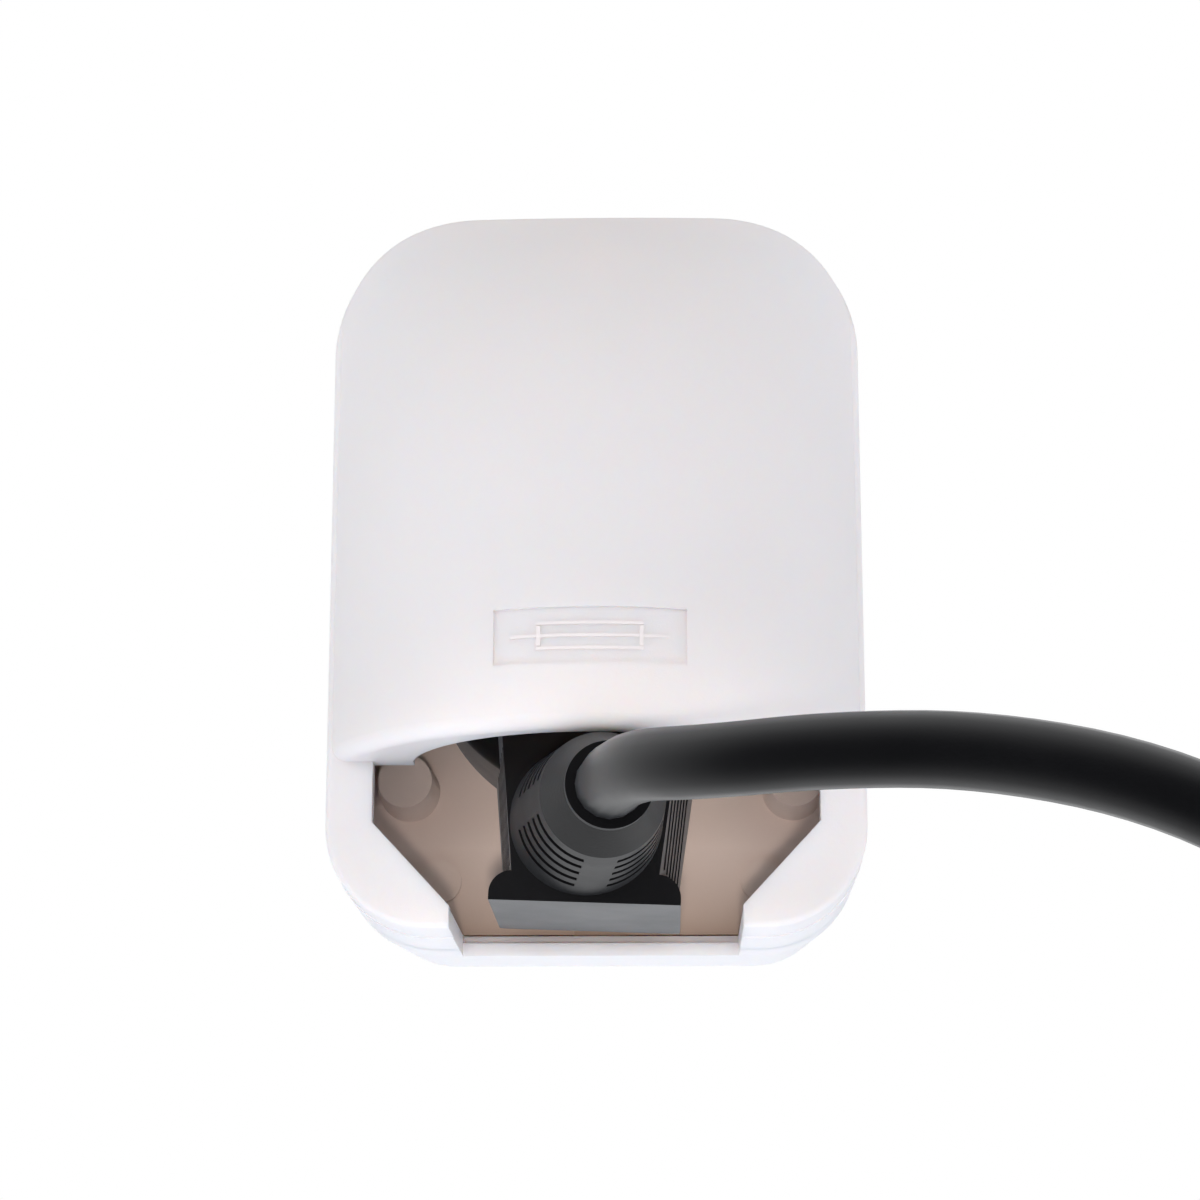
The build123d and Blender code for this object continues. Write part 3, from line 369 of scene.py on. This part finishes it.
def coil_points():
    """Points along the turns, from the top round to the left as seen from the front."""
    spots = strand_places()
    last = len(spots) - 1
    points = []
    for n in range(last * POINTS_PER_TURN + POINTS_PER_TURN // 4 + 1):
        turn, angle = divmod(n * 360.0 / POINTS_PER_TURN, 360.0)
        turn = int(turn)
        out, back = spots[turn]
        if turn < last:
            step_at = STEP_START_DEG + (last - 1 - turn) * STEP_GAP_DEG
            share = min(1.0, max(0.0, (angle - step_at) / STEP_LENGTH_DEG))
            share = share * share * (3 - 2 * share)
            out += share * (spots[turn + 1][0] - out)
            back += share * (spots[turn + 1][1] - back)
        radius, way = COIL_RADIUS_MM + out, radians(angle)
        points.append(COIL_CENTRE_MM + Vector((-radius * sin(way), back, radius * cos(way))))
    return points


def lay_lead():
    """The whole lead as one NURBS curve with a round bevel."""
    end = [COIL_CENTRE_MM + Vector(p) for p in END_ROUTE_MM]
    points = [Vector(p) for p in LEAD_ROUTE_MM] + coil_points() + end
    curve = bpy.data.curves.new("lead", "CURVE")
    curve.dimensions = "3D"
    spline = curve.splines.new("NURBS")
    spline.points.add(len(points) - 1)
    for point, place in zip(spline.points, points):
        point.co = (*(place * MM), 1.0)
    spline.order_u = 3
    spline.use_endpoint_u = True
    spline.resolution_u = 6
    curve.bevel_depth = LEAD_MM / 2 * MM
    curve.bevel_resolution = 6
    curve.materials.append(lead_pvc)
    lead = bpy.data.objects.new("lead_sheath", curve)
    bpy.context.scene.collection.objects.link(lead)
    print("lead:", round(spline.calc_length() / MM), "mm")
    return lead


lead = lay_lead()
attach(lead, "root")
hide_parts("lead", "lead_end", "lead_coil")

# %% [markdown]
# The long panel on the hood carries a raised mark. Here it is the plain drawing symbol of a fuse: a
# long box with a line through it. Its strokes are bars that follow the hood's round surface, so
# each is laid in short steps round the hood's own axis.

# %% Raised fuse symbol
PANEL_ARC_MM = 28.88
PANEL_AXIS_Y_MM = -34.02
PANEL_MIDDLE_X_MM = -0.2
PANEL_MIDDLE_Z_MM = -9.8
STROKE_MM = 0.42
RAISED_MM = 0.3
SUNK_MM = 0.15
DRAFT_MM = 0.06
ARC_STEP_MM = 0.5
SYMBOL_BOX_MM = (10.4, 2.9)
SYMBOL_LINE_MM = 15.6


def raised_bar(mesh, x_from, x_to, z_from, z_to):
    """One raised stroke in short steps along the arc, a little narrower at its top than at its foot."""
    section = ((z_from, -SUNK_MM), (z_from + DRAFT_MM, RAISED_MM), (z_to - DRAFT_MM, RAISED_MM),
               (z_to, -SUNK_MM))
    steps = max(1, round((x_to - x_from) / ARC_STEP_MM))
    rows = []
    for n in range(steps + 1):
        along = x_from + (x_to - x_from) * n / steps
        angle = along / PANEL_ARC_MM
        row = []
        for z, lift in section:
            radius = PANEL_ARC_MM + lift
            spot = Vector((PANEL_MIDDLE_X_MM + radius * sin(angle),
                           PANEL_AXIS_Y_MM - radius * cos(angle), PANEL_MIDDLE_Z_MM + z))
            row.append(mesh.verts.new(spot * MM))
        rows.append(row)
    for one, two in zip(rows, rows[1:]):
        for a in range(4):
            b = (a + 1) % 4
            mesh.faces.new((one[a], two[a], two[b], one[b]))
    mesh.faces.new(rows[0])
    mesh.faces.new(rows[-1][::-1])


def make_fuse_symbol():
    """The five strokes of the symbol as one piece."""
    half_x, half_z, s = SYMBOL_BOX_MM[0] / 2, SYMBOL_BOX_MM[1] / 2, STROKE_MM
    mesh = bmesh.new()
    raised_bar(mesh, -half_x, half_x, half_z - s, half_z)
    raised_bar(mesh, -half_x, half_x, -half_z, s - half_z)
    raised_bar(mesh, -half_x, s - half_x, s - half_z, half_z - s)
    raised_bar(mesh, half_x - s, half_x, s - half_z, half_z - s)
    raised_bar(mesh, -SYMBOL_LINE_MM / 2, SYMBOL_LINE_MM / 2, -s / 2, s / 2)
    bmesh.ops.recalc_face_normals(mesh, faces=mesh.faces)
    data = bpy.data.meshes.new("fuse_symbol")
    mesh.to_mesh(data)
    mesh.free()
    data.materials.append(symbol_abs)
    symbol = bpy.data.objects.new("fuse_symbol", data)
    bpy.context.scene.collection.objects.link(symbol)
    return symbol


symbol = make_fuse_symbol()
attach(symbol, "root")
print("symbol faces:", len(symbol.data.polygons))

# %% [markdown]
# The light is that of a white product table. Soft lamps stand at the left, the right and the front,
# with one behind for the pin side. A broad wash falls on the floor, which throws it back up at the
# underside, and one narrow lamp looks into the lead opening, where little other light arrives.
# The sky is white to the camera. In reflections it is bright behind the object and a little more
# above than below, and dark towards the camera, as a room is: the black plastic stays black where it
# faces the camera and shines at its edges. The lamps and the floor don't show in reflections.

# %% Light and floor
AMBIENT = 0.28
ROOM_TILT = 0.3
ROOM_DARK_AT = -0.55
ROOM_LIGHT_AT = 0.35
ROOM_DARKEST = 0.04
LAMPS = {
    "left": ((-0.85, -0.25, 0.5), (0.9, 0.9), 1.9, "#FFFAF7"),
    "right": ((0.85, -0.25, 0.45), (0.9, 0.9), 1.9, "#FFFAFD"),
    "front": ((-0.02, -0.55, 0.13), (0.7, 0.25), 1.3, "#FFFBFA"),
    "back": ((0.15, 0.8, 0.35), (0.9, 0.9), 2.6, "#FFFFFF"),
}
WASH_PLACE = (0.0, -0.2, -0.12)
WASH_AIM = (0.0, -0.2, -1.0)
WASH_SIZE = (1.8, 1.6)
WASH_WATTS = 7.8
SNOOT_PLACE = (0.007, -0.37, -0.1)
SNOOT_AIM = (0.001, -0.03, -0.027)
SNOOT_WATTS = 1.9
SNOOT_RADIUS_MM = 12
SNOOT_CONE_DEG = 8.2
SNOOT_BLEND = 0.6
FLOOR_GAP_MM = 2
FLOOR_SIZE = 6.0
PAPER_MM = 2.0


def hang_lamp(name, kind, place, aim, watts, colour):
    """A lamp of one kind at a place, turned to a point and hidden from camera and reflections."""
    data = bpy.data.lights.new(name, kind)
    data.energy = watts
    data.color = linear(colour)[:3]
    lamp = bpy.data.objects.new(name, data)
    lamp.location = place
    lamp.visible_glossy = False
    lamp.visible_camera = False
    lamp.rotation_euler = (Vector(aim) - Vector(place)).to_track_quat("-Z", "Y").to_euler()
    bpy.context.scene.collection.objects.link(lamp)
    return data


def add_lamp(name, place, size, watts, colour, aim=(0, 0, 0)):
    """A soft oblong light that faces the housing, or another point."""
    data = hang_lamp(name, "AREA", place, aim, watts, colour)
    data.shape = "RECTANGLE"
    data.size, data.size_y = size


def light_opening():
    """A narrow lamp that looks into the lead opening, as a photographer's snoot does."""
    data = hang_lamp("snoot", "SPOT", SNOOT_PLACE, SNOOT_AIM, SNOOT_WATTS, "#FFF4EC")
    data.shadow_soft_size = SNOOT_RADIUS_MM * MM
    data.spot_size = radians(SNOOT_CONE_DEG)
    data.spot_blend = SNOOT_BLEND


def paint_sky():
    """White to the camera, a graded room in reflections, and a plain ambient level."""
    world = bpy.data.worlds.new("white_room")
    bpy.context.scene.world = world
    world.use_nodes = True
    tree = world.node_tree
    tree.nodes.clear()
    path = add(tree, "ShaderNodeLightPath")
    direction = add(tree, "ShaderNodeSeparateXYZ",
                    Vector=add(tree, "ShaderNodeTexCoord").outputs["Generated"])
    tilted = add(tree, "ShaderNodeMath", {"operation": "MULTIPLY_ADD"}, in0=direction.outputs["Z"],
                 in1=ROOM_TILT, in2=direction.outputs["Y"])
    room = add(tree, "ShaderNodeMapRange", Value=tilted.outputs[0], From_Min=ROOM_DARK_AT,
               From_Max=ROOM_LIGHT_AT, To_Min=ROOM_DARKEST, To_Max=1.0)
    seen = add(tree, "ShaderNodeMath", {"operation": "MAXIMUM"}, in0=path.outputs["Is Glossy Ray"],
               in1=path.outputs["Is Transmission Ray"])
    soft = add(tree, "ShaderNodeMix", in0=seen.outputs[0], in2=AMBIENT, in3=room.outputs["Result"])
    level = add(tree, "ShaderNodeMix", in0=path.outputs["Is Camera Ray"], in2=soft.outputs[0], in3=1.0)
    sky = add(tree, "ShaderNodeBackground", Color=(1, 1, 1, 1), Strength=level.outputs[0])
    add(tree, "ShaderNodeOutputWorld", Surface=sky.outputs[0])


def lay_floor():
    """A plain pale floor just below the hanging connector."""
    low = cad_bounds[0][2] - FLOOR_GAP_MM * MM
    bpy.ops.mesh.primitive_plane_add(size=FLOOR_SIZE, location=(0, 0, low))
    floor = bpy.context.active_object
    floor.name = "floor"
    material, tree, shader = finish("pale_floor", "#ECF0F5", 0.8)
    paper = add(tree, "ShaderNodeTexNoise", Vector=places(tree), Scale=per_metre(PAPER_MM),
                Detail=3.0)
    add_bump(tree, shader, paper.outputs["Fac"], 0.1, 0.1)
    floor.data.materials.append(material)
    floor.visible_glossy = False


for name, (place, size, watts, colour) in LAMPS.items():
    add_lamp(name, place, size, watts, colour)
add_lamp("wash", WASH_PLACE, WASH_SIZE, WASH_WATTS, "#F4F8FF", aim=WASH_AIM)
light_opening()
paint_sky()
lay_floor()
bpy.context.scene.view_settings.view_transform = "Standard"
